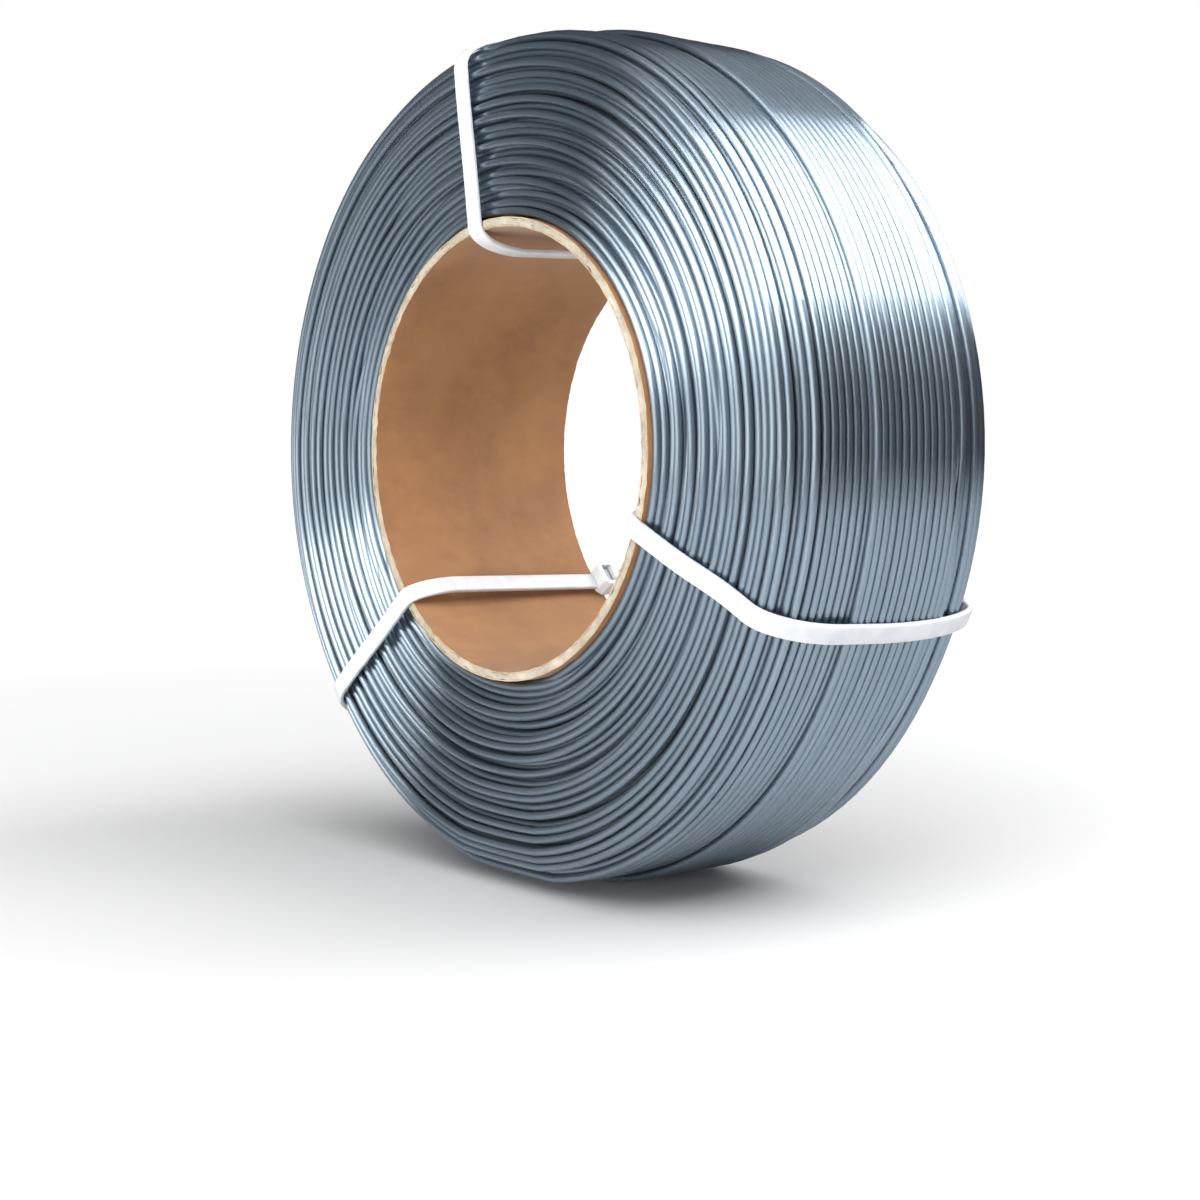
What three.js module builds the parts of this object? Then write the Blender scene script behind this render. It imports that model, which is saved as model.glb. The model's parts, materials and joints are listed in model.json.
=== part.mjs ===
// A filament refill: 1.75 mm filament wound on a cardboard core, bound by three nylon cable ties.
//
// Millimetres, +Z up. The origin is the middle of the core's bore and the reel turns about Y.
// The front face looks along -Y; the ties' heads are at the back edge of the bore, on the +Y side.
// Angles are measured in the XZ plane from +X towards +Z.

import * as THREE from 'three';

// Cardboard core: a board tube between two kraft liners, glued into one wall.
const CORE_BORE_RADIUS = 50.4;
const CORE_LENGTH = 59.4;
const LINER_THICKNESS = 0.35;
const BOARD_THICKNESS = 1.3;
const PLY_GAP = 0.05;

// Winding: one layer is one pass of the filament across the core.
const WINDING_INNER_RADIUS = 52.6;
const LAYER_COUNT = 26;
const LAYER_PITCH = 1.8;
const LAYER_GAP = 0.15;
const FACE_HALF_WIDTH_AT_CORE = 28.2;
const FACE_HALF_WIDTH = 30.0;
const SHOULDER_RADIAL = { front: 10.4, back: 6.7 };
const SHOULDER_AXIAL = 18.9;
const ROUND_SEGMENTS = 48;

// Where each tie crosses the core's rim and the outside of the winding, as angles.
const TIES = {
  upper: { rim: 97.4, outside: 97.4 },
  left: { rim: 224.4, outside: 222.0 },
  right: { rim: 342.0, outside: 337.8 },
};

// How the slack winding sits: pulled in under each tie, and hanging a little off the core's centre.
const PINCH_DEPTH = 1.6;
const PINCH_SPREAD = 28;
const HANG_X = -2.0;
const HANG_Z = -1.8;

// Cable ties.
const STRAP_WIDTH = 4.3;
const STRAP_THICKNESS = 1.2;
const STRAP_CLEARANCE = 0.6;
const STRAP_INSIDE_RADIUS = 48.3;
const STRAP_BEND_RADIUS = 4.0;
const TAIL_END_RADIUS = 43.6;
const HEAD_WIDTH = 7.2;
const HEAD_INNER_RADIUS = 44.4;
const HEAD_OUTER_RADIUS = 49.5;
const HEAD_WALL = 1.3;
const HEAD_TAPER = 1.4;
const NECK_WIDTH = 4.9;
const NECK_GAP = 0.2;
const SLOT_CLEARANCE = 0.3;
const PAWL_ROOM = 2.3;
const PAWL = {
  width: 3.6,
  gap: 0.15,
  rootInset: 0.5,
  rootThickness: 0.8,
  heel: 1.0,
  tipInset: 1.0,
  tipLength: 0.9,
  tipThickness: 0.7,
};

// Worked out from the values above.
const WINDING_OUTER_RADIUS = WINDING_INNER_RADIUS + LAYER_COUNT * LAYER_PITCH;
const OUTER_HALF_WIDTH = FACE_HALF_WIDTH - SHOULDER_AXIAL;
const STRAP_OFFSET = STRAP_CLEARANCE + STRAP_THICKNESS / 2;
const STRAP_FACE_Y = FACE_HALF_WIDTH + STRAP_OFFSET;
const SLOT_BACK_Y = STRAP_FACE_Y + STRAP_THICKNESS / 2 + SLOT_CLEARANCE;
const SLOT_FRONT_Y = STRAP_FACE_Y - STRAP_THICKNESS / 2 - PAWL_ROOM;
const HEAD_FRONT_Y = SLOT_FRONT_Y - HEAD_WALL;
const HEAD_BACK_Y = SLOT_BACK_Y + HEAD_WALL;

const radians = THREE.MathUtils.degToRad;

const filamentMaterial = new THREE.MeshStandardMaterial({ color: 0x7f909f, roughness: 0.35, metalness: 0.3 });
const kraftMaterial = new THREE.MeshStandardMaterial({ color: 0xa97850, roughness: 0.9, metalness: 0 });
const boardMaterial = new THREE.MeshStandardMaterial({ color: 0xcfc6b4, roughness: 0.95, metalness: 0 });
const nylonMaterial = new THREE.MeshStandardMaterial({ color: 0xe9ebee, roughness: 0.4, metalness: 0 });

function namedMesh(name, geometry, material) {
  const mesh = new THREE.Mesh(geometry, material);
  mesh.name = name;
  return mesh;
}

// A ring about Y with a four-cornered section. reach gives how far it goes from the middle, for a
// radius and a side, 'front' or 'back'.
function ring(innerRadius, outerRadius, reach) {
  const section = [
    new THREE.Vector2(innerRadius, -reach(innerRadius, 'front')),
    new THREE.Vector2(outerRadius, -reach(outerRadius, 'front')),
    new THREE.Vector2(outerRadius, reach(outerRadius, 'back')),
    new THREE.Vector2(innerRadius, reach(innerRadius, 'back')),
    new THREE.Vector2(innerRadius, -reach(innerRadius, 'front')),
  ];
  return new THREE.LatheGeometry(section, ROUND_SEGMENTS);
}

// The radius at which the winding's face turns into its shoulder, on one side.
function shoulderStart(side) {
  return WINDING_OUTER_RADIUS - SHOULDER_RADIAL[side];
}

// How far the winding goes from the middle at a radius, on one side: a gently bulging face, then
// an elliptical shoulder.
function windingReach(radius, side) {
  const start = shoulderStart(side);
  if (radius <= start) {
    const across = (radius - WINDING_INNER_RADIUS) / (start - WINDING_INNER_RADIUS);
    const bulge = Math.sin(Math.max(across, 0) * Math.PI / 2);
    return FACE_HALF_WIDTH_AT_CORE + (FACE_HALF_WIDTH - FACE_HALF_WIDTH_AT_CORE) * bulge;
  }
  const up = Math.min((radius - start) / SHOULDER_RADIAL[side], 1);
  return OUTER_HALF_WIDTH + SHOULDER_AXIAL * Math.sqrt(1 - up * up);
}

// 0 at the core and 1 at the outside: how far a radius is through the winding.
function depthOfWind(radius) {
  const through = (radius - WINDING_INNER_RADIUS) / (WINDING_OUTER_RADIUS - WINDING_INNER_RADIUS);
  return THREE.MathUtils.clamp(through, 0, 1);
}

// How far the ties pull the outermost turn in at an angle in degrees.
function pinch(angle) {
  let total = 0;
  for (const { outside } of Object.values(TIES)) {
    const away = THREE.MathUtils.euclideanModulo(angle - outside + 180, 360) - 180;
    total += PINCH_DEPTH * Math.exp(-((away / PINCH_SPREAD) ** 2));
  }
  return total;
}

// Where a point of the round winding really lies: in towards the ties, and hanging off centre.
function settledPoint(radius, angle) {
  const through = depthOfWind(radius);
  const pulledIn = radius - through * pinch(angle);
  return new THREE.Vector2(
    pulledIn * Math.cos(radians(angle)) + through * HANG_X,
    pulledIn * Math.sin(radians(angle)) + through * HANG_Z,
  );
}

// The level that the winding stands on: its own weight presses the outermost layer flat between
// the two corners beside the lowest one.
function restLevel() {
  const step = 360 / ROUND_SEGMENTS;
  const outermost = WINDING_OUTER_RADIUS - LAYER_GAP;
  return Math.max(settledPoint(outermost, 270 - step).y, settledPoint(outermost, 270 + step).y);
}

// Moves each point of a round geometry to where the slack, tied winding really lies.
function settle(geometry) {
  const points = geometry.getAttribute('position');
  const floor = restLevel();
  for (let i = 0; i < points.count; i += 1) {
    const radius = Math.hypot(points.getX(i), points.getZ(i));
    const angle = Math.atan2(points.getZ(i), points.getX(i)) * THREE.MathUtils.RAD2DEG;
    const place = settledPoint(radius, angle);
    points.setX(i, place.x);
    points.setZ(i, Math.max(place.y, floor));
  }
  return geometry;
}

function buildCore(group) {
  const halfLength = () => CORE_LENGTH / 2;
  const plies = [
    ['core_inner_liner', LINER_THICKNESS, kraftMaterial],
    ['core_board', BOARD_THICKNESS, boardMaterial],
    ['core_outer_liner', LINER_THICKNESS, kraftMaterial],
  ];
  let radius = CORE_BORE_RADIUS;
  for (const [name, thickness, material] of plies) {
    group.add(namedMesh(name, ring(radius, radius + thickness, halfLength), material));
    radius += thickness + PLY_GAP;
  }
}

function buildWinding(group) {
  for (let layer = 0; layer < LAYER_COUNT; layer += 1) {
    const innerRadius = WINDING_INNER_RADIUS + layer * LAYER_PITCH;
    const outerRadius = innerRadius + LAYER_PITCH - LAYER_GAP;
    const shape = ring(innerRadius, outerRadius, windingReach);
    const name = `filament_layer_${String(layer + 1).padStart(2, '0')}`;
    group.add(namedMesh(name, settle(shape), filamentMaterial));
  }
}

// The way a tie's plane runs from the bore to the outside of the winding, drawn with the rim's
// angle along X: a vector of (radius, sideways).
function tieReach({ rim, outside }) {
  const hang = HANG_X * Math.cos(radians(outside)) + HANG_Z * Math.sin(radians(outside));
  const radius = WINDING_OUTER_RADIUS - pinch(outside) + hang + STRAP_OFFSET;
  const away = radians(outside - rim);
  return new THREE.Vector2(radius * Math.cos(away) - STRAP_INSIDE_RADIUS, radius * Math.sin(away));
}

// The middle line of a strap, as points of (radius, y): from its neck at the head, forward along
// the bore, round the front rim, over the winding, down the back and through the head's slot.
function strapLine(outerRadius) {
  const shoulderAxial = STRAP_FACE_Y - OUTER_HALF_WIDTH;
  const line = [new THREE.Vector2(STRAP_INSIDE_RADIUS, HEAD_FRONT_Y - NECK_GAP)];
  const bendSteps = 8;
  for (let i = 0; i <= bendSteps; i += 1) {
    const turn = (i / bendSteps) * Math.PI / 2;
    line.push(new THREE.Vector2(
      STRAP_INSIDE_RADIUS + STRAP_BEND_RADIUS * (1 - Math.cos(turn)),
      -STRAP_FACE_Y + STRAP_BEND_RADIUS * (1 - Math.sin(turn)),
    ));
  }
  const shoulderSteps = 9;
  for (const [side, sign] of [['front', -1], ['back', 1]]) {
    const start = shoulderStart(side);
    for (let i = 0; i <= shoulderSteps; i += 1) {
      const part = side === 'front' ? i / shoulderSteps : 1 - i / shoulderSteps;
      const turn = part * Math.PI / 2;
      line.push(new THREE.Vector2(
        start + (outerRadius - start) * Math.sin(turn),
        sign * (OUTER_HALF_WIDTH + shoulderAxial * Math.cos(turn)),
      ));
    }
  }
  line.push(new THREE.Vector2(TAIL_END_RADIUS, STRAP_FACE_Y));
  return line;
}

// The outline of a strip of even thickness along a line.
function stripShape(line, thickness) {
  const left = [];
  const right = [];
  for (let i = 0; i < line.length; i += 1) {
    const before = line[Math.max(i - 1, 0)];
    const after = line[Math.min(i + 1, line.length - 1)];
    const along = after.clone().sub(before).normalize();
    const across = new THREE.Vector2(-along.y, along.x).multiplyScalar(thickness / 2);
    left.push(line[i].clone().add(across));
    right.push(line[i].clone().sub(across));
  }
  return new THREE.Shape([...left, ...right.reverse()]);
}

// Extrudes a (radius, y) outline to both sides of the plane in which it is drawn.
function acrossPlane(shape, width) {
  const geometry = new THREE.ExtrudeGeometry(shape, { depth: width, bevelEnabled: false });
  geometry.translate(0, 0, -width / 2);
  return geometry;
}

// The head: a block with a tapered neck side and a slot for the tail and the pawl.
function headGeometry() {
  const halfWidth = HEAD_WIDTH / 2;
  const halfNeck = NECK_WIDTH / 2;
  const halfSlot = STRAP_WIDTH / 2 + SLOT_CLEARANCE;
  const outline = new THREE.Shape([
    new THREE.Vector2(halfNeck, HEAD_FRONT_Y),
    new THREE.Vector2(halfWidth, HEAD_FRONT_Y + HEAD_TAPER),
    new THREE.Vector2(halfWidth, HEAD_BACK_Y),
    new THREE.Vector2(-halfWidth, HEAD_BACK_Y),
    new THREE.Vector2(-halfWidth, HEAD_FRONT_Y + HEAD_TAPER),
    new THREE.Vector2(-halfNeck, HEAD_FRONT_Y),
  ]);
  outline.holes.push(new THREE.Path([
    new THREE.Vector2(halfSlot, SLOT_FRONT_Y),
    new THREE.Vector2(-halfSlot, SLOT_FRONT_Y),
    new THREE.Vector2(-halfSlot, SLOT_BACK_Y),
    new THREE.Vector2(halfSlot, SLOT_BACK_Y),
  ]));
  const depth = HEAD_OUTER_RADIUS - HEAD_INNER_RADIUS;
  const geometry = new THREE.ExtrudeGeometry(outline, { depth, bevelEnabled: false });
  geometry.rotateY(Math.PI / 2);
  geometry.translate(HEAD_INNER_RADIUS, 0, 0);
  return geometry;
}

// The pawl: a wedge that hangs from the slot's front wall and points along the tail's way in.
function pawlGeometry() {
  const rootRadius = HEAD_OUTER_RADIUS - PAWL.rootInset;
  const rootY = SLOT_FRONT_Y + PAWL.gap;
  const tipRadius = HEAD_INNER_RADIUS + PAWL.tipInset;
  const tipY = STRAP_FACE_Y - STRAP_THICKNESS / 2 - SLOT_CLEARANCE;
  const outline = new THREE.Shape([
    new THREE.Vector2(rootRadius, rootY),
    new THREE.Vector2(rootRadius, rootY + PAWL.rootThickness),
    new THREE.Vector2(tipRadius + PAWL.tipLength, tipY),
    new THREE.Vector2(tipRadius, tipY),
    new THREE.Vector2(tipRadius, tipY - PAWL.tipThickness),
    new THREE.Vector2(rootRadius - PAWL.heel, rootY),
  ]);
  return acrossPlane(outline, PAWL.width);
}

// Each tie is drawn in the plane of angle 0, with radius along X. It leans about the place where
// its strap lies in the bore, and is then turned about Y to the rim's angle.
function buildTie(group, name, places) {
  const reach = tieReach(places);
  const outerRadius = STRAP_INSIDE_RADIUS + reach.length();
  const strap = acrossPlane(stripShape(strapLine(outerRadius), STRAP_THICKNESS), STRAP_WIDTH);
  const leaning = new THREE.Group();
  leaning.position.x = STRAP_INSIDE_RADIUS;
  leaning.rotation.y = -reach.angle();
  const pieces = { strap, head: headGeometry(), pawl: pawlGeometry() };
  for (const [piece, geometry] of Object.entries(pieces)) {
    const mesh = namedMesh(`${name}_tie_${piece}`, geometry, nylonMaterial);
    mesh.position.x = -STRAP_INSIDE_RADIUS;
    leaning.add(mesh);
  }
  const tie = new THREE.Group();
  tie.rotation.y = -radians(places.rim);
  tie.add(leaning);
  group.add(tie);
}

const reel = new THREE.Group();
buildCore(reel);
buildWinding(reel);
for (const [name, places] of Object.entries(TIES)) {
  buildTie(reel, name, places);
}

export default reel;
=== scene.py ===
import json
import math

import bmesh
import bpy
import numpy as np
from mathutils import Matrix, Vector


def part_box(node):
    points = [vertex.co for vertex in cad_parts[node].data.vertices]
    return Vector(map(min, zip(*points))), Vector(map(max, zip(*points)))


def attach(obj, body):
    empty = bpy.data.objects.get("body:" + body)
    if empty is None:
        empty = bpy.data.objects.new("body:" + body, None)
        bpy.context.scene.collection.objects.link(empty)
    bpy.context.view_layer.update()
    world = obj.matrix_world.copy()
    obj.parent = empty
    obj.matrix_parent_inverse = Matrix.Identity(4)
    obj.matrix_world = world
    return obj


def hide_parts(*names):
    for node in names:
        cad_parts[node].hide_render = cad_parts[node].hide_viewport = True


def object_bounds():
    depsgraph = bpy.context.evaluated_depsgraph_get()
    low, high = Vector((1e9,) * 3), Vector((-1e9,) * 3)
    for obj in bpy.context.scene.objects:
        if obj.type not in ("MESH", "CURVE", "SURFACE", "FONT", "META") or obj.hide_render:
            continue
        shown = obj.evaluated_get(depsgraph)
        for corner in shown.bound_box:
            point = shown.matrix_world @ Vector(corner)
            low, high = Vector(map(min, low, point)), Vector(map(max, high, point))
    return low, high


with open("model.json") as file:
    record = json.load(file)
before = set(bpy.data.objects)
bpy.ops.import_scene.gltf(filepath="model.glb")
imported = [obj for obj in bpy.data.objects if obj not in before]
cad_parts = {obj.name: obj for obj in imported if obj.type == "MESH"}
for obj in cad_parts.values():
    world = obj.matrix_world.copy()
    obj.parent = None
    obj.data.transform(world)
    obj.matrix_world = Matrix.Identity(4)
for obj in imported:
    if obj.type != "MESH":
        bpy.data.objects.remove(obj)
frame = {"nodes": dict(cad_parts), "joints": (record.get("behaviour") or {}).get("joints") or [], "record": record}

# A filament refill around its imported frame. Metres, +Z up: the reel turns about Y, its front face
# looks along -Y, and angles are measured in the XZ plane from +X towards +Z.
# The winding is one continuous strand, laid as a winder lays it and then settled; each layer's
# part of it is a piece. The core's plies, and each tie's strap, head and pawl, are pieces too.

CAD_BOX = [list(corner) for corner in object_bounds()]
MM = 0.001
RNG = np.random.default_rng(7)

# Sizes read from the frame.
LAYERS = sorted(name for name in frame["nodes"] if name.startswith("filament_layer_"))
TIES = ("upper", "left", "right")
MOUNTS = {mount["name"]: mount for mount in frame["record"]["mounts"]}
BORE_RADIUS = MOUNTS["core_bore"]["dims"]["r_mm"] * MM
CORE_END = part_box("core_board")[1].y
CORE_OUTER_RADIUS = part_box("core_outer_liner")[1].x
FLOOR_Z = CAD_BOX[0][2]
FACE_HALF_WIDTH = max(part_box(name)[1].y for name in LAYERS)

# The winding, as the design has it. Only beside the core does it reach a little further out.
WIDER_AT_CORE = 0.7 * MM
FACE_HALF_WIDTH_AT_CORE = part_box(LAYERS[0])[1].y + WIDER_AT_CORE
STRAND_RADIUS = 0.875 * MM
LAYER_PITCH = 1.8 * MM
CORE_GAP = 0.1 * MM
WINDING_INNER_RADIUS = CORE_OUTER_RADIUS + CORE_GAP
WINDING_OUTER_RADIUS = WINDING_INNER_RADIUS + len(LAYERS) * LAYER_PITCH
FRONT_SHOULDER_RADIAL = 10.4 * MM
BACK_SHOULDER_RADIAL = 6.7 * MM
SHOULDER_AXIAL = 18.9 * MM
OUTER_HALF_WIDTH = FACE_HALF_WIDTH - SHOULDER_AXIAL
PINCH_DEPTH = 1.6 * MM
PINCH_SPREAD = math.radians(28)
HANG = np.array([-2.0, -1.8]) * MM

# How the winder lays the strand. It is sampled COLUMNS times in each turn and stays END_DWELL of
# a turn at each end. Where a layer ends is random within REACH_SCATTER, and LONGEST_REACH of that
# lies past the winding's face. The last turn is at LAST_TURN_Y, and goes END_TUCK of a turn past
# the left tie.
TURN_PITCH = 2.1 * MM
COLUMNS = 120
END_DWELL = 0.8
END_TUCK = 0.02
LAST_TURN_Y = -7.5 * MM
REACH_SCATTER = 1.3 * MM
LONGEST_REACH = 0.3
STRAND_SIDES = 12

# How far it strays: a little everywhere, and more where an end turn has nothing beside it. An end
# turn also sinks in from the face where its noise is above SINK_FROM. Each way of straying changes
# over its own number of samples. Within about HELD_SPREAD of a tie the end turns stay flush.
ALONG_DRIFT = 0.06 * MM
END_ALONG_DRIFT = 0.40 * MM
RADIAL_DRIFT = 0.03 * MM
END_RADIAL_DRIFT = 0.60 * MM
END_SINK = 2.6 * MM
SINK_FROM = 0.25
SINK_LIMIT = 1.2
ALONG_SAMPLES, END_ALONG_SAMPLES = 16, 14
RADIAL_SAMPLES, END_RADIAL_SAMPLES = 20, 22
SINK_SAMPLES = 28
HELD_SPREAD = math.radians(14)

# How it settles: each pass pushes touching strands apart and then smooths the whole line.
SETTLING_PASSES = 14
SMOOTHING_ROUNDS = 3
LARGEST_MOVE = 0.3 * MM

# Where turns can be seen, and so keep all their samples and not just every second one: how many
# turns in from the end of their own layer, and of the layer that covers them.
END_TURNS = 3.2
UNCOVERED_TURNS = 2.2


# A tie's own plane: where its pawl's hinge lies in it, and where that plane is in the frame.
PAWL_HINGE_RADIUS = 48.8 * MM


def tie_plane(tie):
    """A tie's plane as (base, out, across): base is its radius 0 and out its way outwards."""
    joint = next(joint for joint in frame["joints"] if joint["child"] == f"{tie}_pawl")
    across = np.array(joint["axis"])
    out = np.array([across[2], 0.0, -across[0]])
    hinge = np.array(joint["pos_m"]) * [1, 0, 1]
    return hinge - PAWL_HINGE_RADIUS * out, out, across


TIE_PLANES = {tie: tie_plane(tie) for tie in TIES}


def outside_angle(plane):
    """The angle about Y at which a tie crosses the outside of the winding."""
    base, out, _ = plane
    x, _, z = base + WINDING_OUTER_RADIUS * out
    return math.atan2(z, x)


TIE_ANGLES = {tie: outside_angle(plane) for tie, plane in TIE_PLANES.items()}


# ---------------------------------------------------------------- helpers


def smooth_noise(count, spread, wrap=False):
    """Random numbers of about unit size that change slowly over spread samples."""
    half = max(int(2.5 * spread), 1)
    kernel = np.exp(-0.5 * (np.arange(-half, half + 1) / spread) ** 2)
    raw = RNG.standard_normal(count if wrap else count + 2 * half)
    if wrap:
        raw = np.concatenate([raw[-half:], raw, raw[:half]])
    return np.convolve(raw, kernel / np.sqrt((kernel**2).sum()), mode="valid")


def at_angle(radius, along, angle):
    """Points in the row frame from a radius, a place along the bore and an angle."""
    return np.stack([radius * np.cos(angle), along + 0 * radius, radius * np.sin(angle)], axis=-1)


def mesh_object(name, vertices, quads, caps=(), materials=(), quad_materials=None):
    """A smooth-shaded mesh from numpy quads, with flat many-sided caps if given."""
    mesh = bpy.data.meshes.new(name)
    mesh.vertices.add(len(vertices))
    mesh.vertices.foreach_set("co", np.asarray(vertices, np.float32).ravel())
    corners = [np.asarray(quads, np.int32).ravel(), *[np.asarray(cap, np.int32) for cap in caps]]
    sizes = np.array([4] * len(quads) + [len(cap) for cap in caps], np.int32)
    mesh.loops.add(int(sizes.sum()))
    mesh.loops.foreach_set("vertex_index", np.concatenate(corners))
    mesh.polygons.add(len(sizes))
    mesh.polygons.foreach_set("loop_start", np.cumsum(sizes) - sizes)
    smooth = np.ones(len(sizes), bool)
    smooth[len(quads):] = False
    mesh.polygons.foreach_set("use_smooth", smooth)
    if quad_materials is not None:
        mesh.polygons.foreach_set("material_index", np.asarray(quad_materials, np.int32))
    mesh.update(calc_edges=True)
    for material in materials:
        mesh.materials.append(material)
    piece = bpy.data.objects.new(name, mesh)
    bpy.context.scene.collection.objects.link(piece)
    return piece


def point_attribute(piece, name, values):
    """Stores one vector for each vertex, for the material to read."""
    layer = piece.data.attributes.new(name, "FLOAT_VECTOR", "POINT")
    layer.data.foreach_set("vector", np.asarray(values, np.float32).ravel())


def ring_quads(rings, sides, closed=False):
    """The quads between rings of equal numbers of points."""
    count = rings if closed else rings - 1
    row = np.arange(count)[:, None]
    side = np.arange(sides)[None, :]
    here = row * sides
    there = ((row + 1) % rings) * sides
    after = (side + 1) % sides
    quads = np.stack([here + side, here + after, there + after, there + side], axis=-1)
    return quads.reshape(-1, 4)


def add_piece(piece, body, slot, *nodes):
    """Rides a piece on its body, in place of CAD nodes. Its slot is not used."""
    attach(piece, body)
    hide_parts(*nodes)


# ---------------------------------------------------------------- materials


class Recipe:
    """One material's nodes around its Principled shader."""

    def __init__(self, name, roughness, metallic=0.0, **sockets):
        self.material = bpy.data.materials.new(name)
        self.material.use_nodes = True
        self.nodes = self.material.node_tree.nodes
        self.links = self.material.node_tree.links
        self.shader = self.nodes["Principled BSDF"]
        self.shader.inputs["Roughness"].default_value = roughness
        self.shader.inputs["Metallic"].default_value = metallic
        for socket, value in sockets.items():
            self.shader.inputs[socket.replace("_", " ")].default_value = value

    def node(self, kind, inputs=(), **settings):
        """A node with its settings, and its inputs set or linked."""
        made = self.nodes.new(kind)
        for setting, value in settings.items():
            setattr(made, setting, value)
        for socket, value in dict(inputs).items():
            if isinstance(value, bpy.types.NodeSocket):
                self.links.new(value, made.inputs[socket])
            else:
                made.inputs[socket].default_value = value
        return made

    def place(self, scale, attribute=None):
        """Coordinates in metres, or a stored attribute, stretched by scale."""
        if attribute:
            source = self.node("ShaderNodeAttribute", attribute_name=attribute).outputs["Vector"]
        else:
            source = self.node("ShaderNodeTexCoord").outputs["Object"]
        mapped = self.node("ShaderNodeMapping", {"Vector": source, "Scale": scale})
        return mapped.outputs["Vector"]

    def noise(self, vector, detail=4.0, roughness=0.5, distortion=0.0):
        """Noise from 0 to 1 at the scale that vector already has."""
        inputs = {
            "Vector": vector,
            "Scale": 1.0,
            "Detail": detail,
            "Roughness": roughness,
            "Distortion": distortion,
        }
        return self.node("ShaderNodeTexNoise", inputs).outputs["Fac"]

    def ramp(self, factor, stops):
        """A colour from a factor, by (position, colour) stops."""
        made = self.node("ShaderNodeValToRGB", {"Fac": factor})
        elements = made.color_ramp.elements
        while len(elements) < len(stops):
            elements.new(0.5)
        for element, (position, colour) in zip(elements, stops):
            element.position = position
            element.color = (*colour, 1.0)
        return made.outputs["Color"]

    def level(self, factor, low, high, start=0.3, end=0.7):
        """A number from low to high as factor goes from start to end."""
        inputs = {
            "Value": factor,
            "From Min": start,
            "From Max": end,
            "To Min": low,
            "To Max": high,
        }
        return self.node("ShaderNodeMapRange", inputs).outputs["Result"]

    def mix(self, factor, first, second):
        """Two colours mixed, from all first to all second as factor goes from 0 to 1."""
        made = self.node("ShaderNodeMix", {"Factor": factor}, data_type="RGBA")
        for socket, colour in ((made.inputs[6], first), (made.inputs[7], second)):
            if isinstance(colour, bpy.types.NodeSocket):
                self.links.new(colour, socket)
            else:
                socket.default_value = (*colour, 1.0)
        return made.outputs[2]

    def finish(self, colour, roughness, *bumps):
        """Links the colour, the roughness and each (height, strength, distance) bump."""
        self.links.new(colour, self.shader.inputs["Base Color"])
        self.links.new(roughness, self.shader.inputs["Roughness"])
        normal = None
        for height, strength, distance in bumps:
            inputs = {"Height": height, "Strength": strength, "Distance": distance}
            if normal is not None:
                inputs["Normal"] = normal
            normal = self.node("ShaderNodeBump", inputs).outputs["Normal"]
        if normal is not None:
            self.links.new(normal, self.shader.inputs["Normal"])
        return self.material


def silk_filament():
    """Silk PLA: a pearly blue-grey, drawn glossy along the strand and satin across it."""
    recipe = Recipe("silk_filament", 0.29, metallic=0.93, Anisotropic=1.0)
    across = recipe.node("ShaderNodeAttribute", attribute_name="across").outputs["Vector"]
    recipe.links.new(across, recipe.shader.inputs["Tangent"])
    lengthwise = recipe.noise(recipe.place((1.6, 1.6, 26.0), "strand"), 3.0)
    lines = recipe.noise(recipe.place((7.0, 7.0, 12.0), "strand"), 5.0)
    cloudy = recipe.noise(recipe.place((38.0, 38.0, 38.0)), 3.0)
    pearl = recipe.ramp(
        lengthwise,
        [(0.25, (0.212, 0.270, 0.328)), (0.5, (0.258, 0.322, 0.386)), (0.8, (0.310, 0.378, 0.445))],
    )
    colour = recipe.mix(recipe.level(cloudy, 0.0, 0.35), pearl, (0.228, 0.294, 0.360))
    roughness = recipe.level(lines, 0.25, 0.34)
    return recipe.finish(colour, roughness)


def kraft_paper():
    """The brown liner: mottled, with faint fibres and the rub marks of the winding mandrel."""
    recipe = Recipe("kraft_paper", 0.8, Sheen_Weight=0.15, Sheen_Roughness=0.5)
    mottled = recipe.noise(recipe.place((34.0, 34.0, 34.0)), 5.0, 0.6)
    fibres = recipe.noise(recipe.place((330.0, 210.0, 330.0)), 6.0, 0.65)
    rubbed = recipe.noise(recipe.place((62.0, 40.0, 62.0)), 3.0, 0.5, 0.6)
    brown = recipe.ramp(
        mottled,
        [(0.3, (0.200, 0.087, 0.031)), (0.5, (0.285, 0.132, 0.048)), (0.72, (0.375, 0.184, 0.066))],
    )
    fibrous = recipe.mix(recipe.level(fibres, 0.0, 0.30), brown, (0.45, 0.240, 0.100))
    colour = recipe.mix(recipe.level(rubbed, 0.0, 0.35), fibrous, (0.215, 0.090, 0.035))
    roughness = recipe.level(fibres, 0.68, 0.88)
    return recipe.finish(colour, roughness, (fibres, 0.25, 0.05 * MM), (mottled, 0.15, 0.4 * MM))


def cut_edge(name, dark, middle, light):
    """A cut edge of paper or board: fine torn fibres over darker and lighter patches."""
    recipe = Recipe(name, 0.9)
    fibres = recipe.noise(recipe.place((900.0, 900.0, 900.0)), 6.0, 0.7)
    patches = recipe.noise(recipe.place((180.0, 180.0, 180.0)), 4.0, 0.6)
    ground = recipe.ramp(patches, [(0.3, dark), (0.52, middle), (0.72, light)])
    colour = recipe.mix(recipe.level(fibres, 0.0, 0.55), ground, light)
    roughness = recipe.level(fibres, 0.82, 0.97)
    return recipe.finish(colour, roughness, (fibres, 0.6, 0.12 * MM))


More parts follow.
